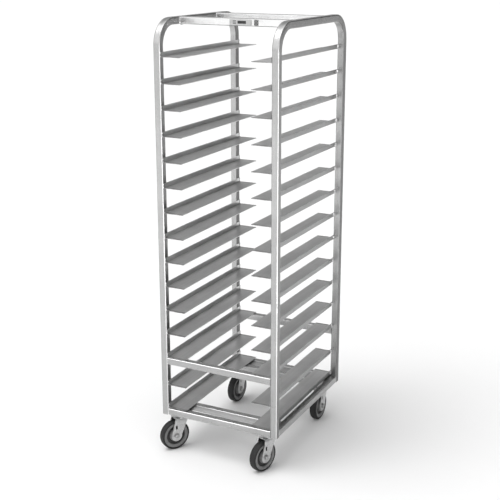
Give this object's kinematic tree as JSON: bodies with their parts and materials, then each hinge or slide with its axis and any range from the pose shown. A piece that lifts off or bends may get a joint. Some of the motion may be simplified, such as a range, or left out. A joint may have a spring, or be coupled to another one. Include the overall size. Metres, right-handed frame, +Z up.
{
  "type": "sheet pan rack",
  "caption": "Tall front-loading sheet pan rack with two bent square-tube hoops, paired L-angle slides and swivel casters.",
  "frame": {"origin": "on the floor, under the middle of the whole object's box with the casters as they stand at rest", "axes": "+X to the right across the loading front, -Y towards the loading front, +Z up along the posts"},
  "size_m": [0.5302, 0.6904, 1.778],
  "materials": {
    "frame": "satin mill finish, faintly brushed along the tube",
    "slide": "satin mill finish sheet, a little darker than the tube",
    "zinc": "bright zinc plated steel",
    "wheel": "grey moulded plastic",
    "tyre": "black non-marking rubber",
    "label": "pale foil with plain dark bars and no lettering"
  },
  "bodies": {
    "frame": {"hoop_left": "frame", "hoop_right": "frame", "top_bar_front": "frame", "top_bar_rear": "frame", "mid_bar_front": "frame", "mid_bar_rear": "frame", "base_bar_front": "frame", "base_bar_rear": "frame", "caster_bar_front": "frame", "caster_bar_rear": "frame", "base_bar_left": "frame", "base_bar_right": "frame", "slide_left_01": "slide", "slide_left_02": "slide", "slide_left_03": "slide", "slide_left_04": "slide", "slide_left_05": "slide", "slide_left_06": "slide", "slide_left_07": "slide", "slide_left_08": "slide", "slide_left_09": "slide", "slide_left_10": "slide", "slide_left_11": "slide", "slide_left_12": "slide", "slide_left_13": "slide", "slide_left_14": "slide", "slide_left_15": "slide", "slide_right_01": "slide", "slide_right_02": "slide", "slide_right_03": "slide", "slide_right_04": "slide", "slide_right_05": "slide", "slide_right_06": "slide", "slide_right_07": "slide", "slide_right_08": "slide", "slide_right_09": "slide", "slide_right_10": "slide", "slide_right_11": "slide", "slide_right_12": "slide", "slide_right_13": "slide", "slide_right_14": "slide", "slide_right_15": "slide", "label_plate": "label", "caster_front_left_plate": "zinc", "caster_front_right_plate": "zinc", "caster_rear_left_plate": "zinc", "caster_rear_right_plate": "zinc"},
    "swivel_front_left": {"caster_front_left_fork": "zinc"},
    "wheel_front_left": {"caster_front_left_wheel": "wheel", "caster_front_left_tyre": "tyre"},
    "swivel_front_right": {"caster_front_right_fork": "zinc"},
    "wheel_front_right": {"caster_front_right_wheel": "wheel", "caster_front_right_tyre": "tyre"},
    "swivel_rear_left": {"caster_rear_left_fork": "zinc"},
    "wheel_rear_left": {"caster_rear_left_wheel": "wheel", "caster_rear_left_tyre": "tyre"},
    "swivel_rear_right": {"caster_rear_right_fork": "zinc"},
    "wheel_rear_right": {"caster_rear_right_wheel": "wheel", "caster_rear_right_tyre": "tyre"}
  },
  "joints": [
    {"name": "swivel_front_left", "type": "hinge", "parent": "frame", "child": "swivel_front_left", "pos_m": [-0.20199, -0.24877, 0.145], "axis": [0, 0, 1], "continuous": true},
    {"name": "roll_front_left", "type": "hinge", "parent": "swivel_front_left", "child": "wheel_front_left", "pos_m": [-0.22053, -0.27845, 0.0635], "axis": [0.848, -0.5299, 0], "continuous": true},
    {"name": "swivel_front_right", "type": "hinge", "parent": "frame", "child": "swivel_front_right", "pos_m": [0.20511, -0.24877, 0.145], "axis": [0, 0, 1], "continuous": true},
    {"name": "roll_front_right", "type": "hinge", "parent": "swivel_front_right", "child": "wheel_front_right", "pos_m": [0.1943, -0.28206, 0.0635], "axis": [0.9511, -0.309, 0], "continuous": true},
    {"name": "swivel_rear_left", "type": "hinge", "parent": "frame", "child": "swivel_rear_left", "pos_m": [-0.20199, 0.29123, 0.145], "axis": [0, 0, 1], "continuous": true},
    {"name": "roll_rear_left", "type": "hinge", "parent": "swivel_rear_left", "child": "wheel_rear_left", "pos_m": [-0.20443, 0.25632, 0.0635], "axis": [0.9976, -0.0698, 0], "continuous": true},
    {"name": "swivel_rear_right", "type": "hinge", "parent": "frame", "child": "swivel_rear_right", "pos_m": [0.20511, 0.29123, 0.145], "axis": [0, 0, 1], "continuous": true},
    {"name": "roll_rear_right", "type": "hinge", "parent": "swivel_rear_right", "child": "wheel_rear_right", "pos_m": [0.20511, 0.25623, 0.0635], "axis": [1, 0, 0], "continuous": true}
  ]
}
